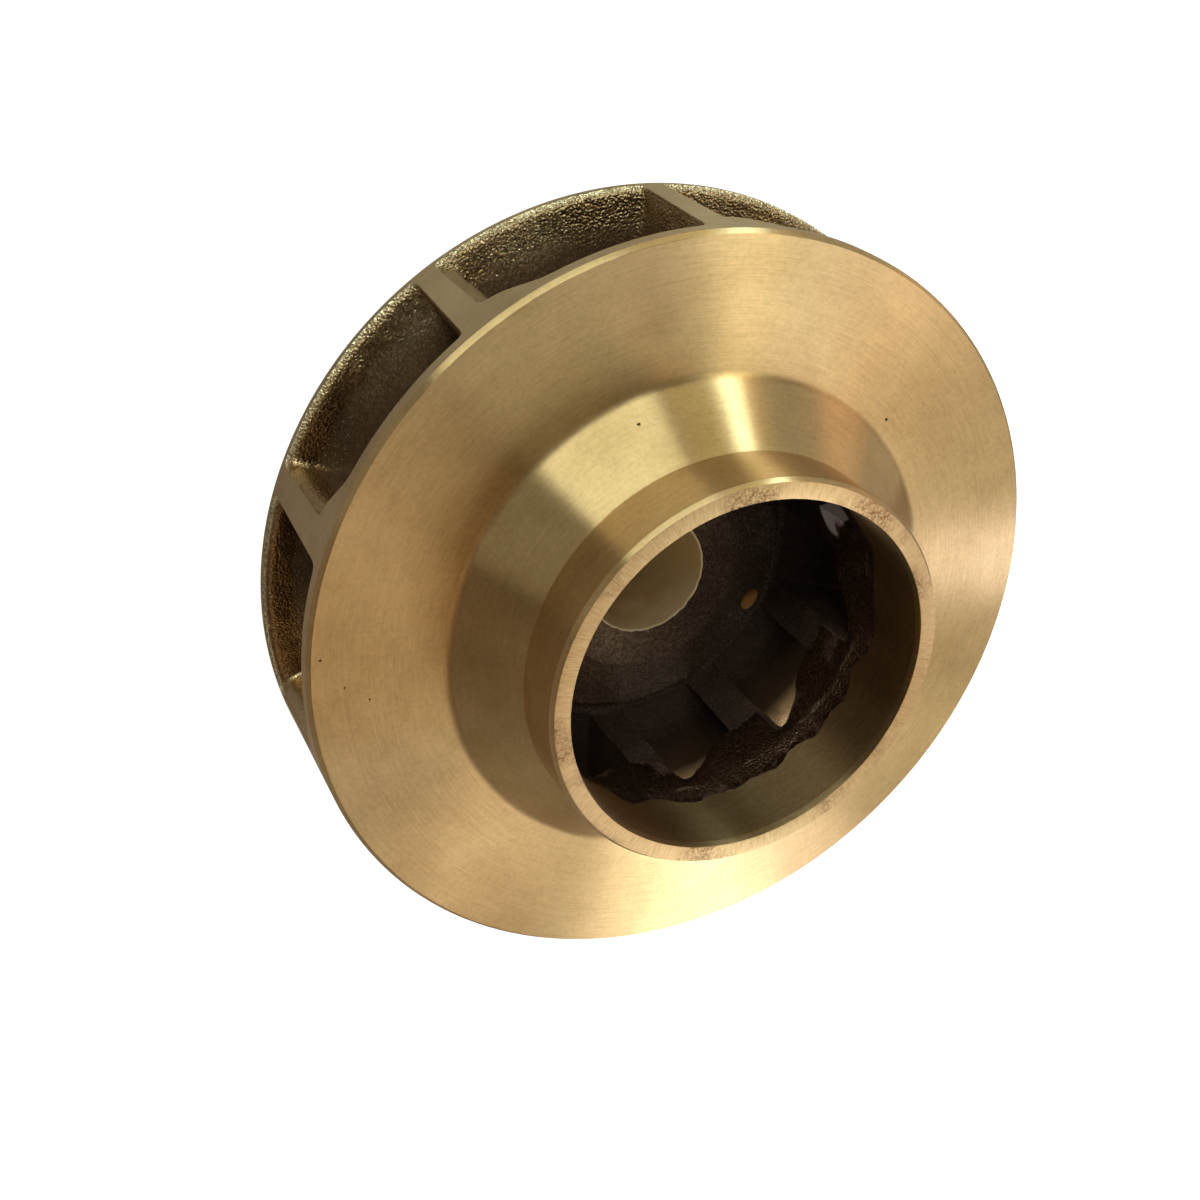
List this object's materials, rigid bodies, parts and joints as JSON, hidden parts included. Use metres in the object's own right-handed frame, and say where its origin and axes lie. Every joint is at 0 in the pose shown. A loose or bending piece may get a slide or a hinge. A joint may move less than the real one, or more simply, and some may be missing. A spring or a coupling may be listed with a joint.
{
  "type": "pump impeller",
  "caption": "Closed centrifugal pump impeller cast in bronze, with two shrouds, straight thick vanes, a coned suction neck and a keyed shaft bore.",
  "frame": {"origin": "on the shaft axis in the end face of the rear boss", "axes": "+Z along the shaft axis towards the suction eye, X and Y in that end face"},
  "size_m": [0.15, 0.15, 0.066],
  "materials": {
    "bronze": "fine turned outside, sand cast passages"
  },
  "bodies": {
    "root": {"impeller": "bronze"}
  },
  "joints": []
}
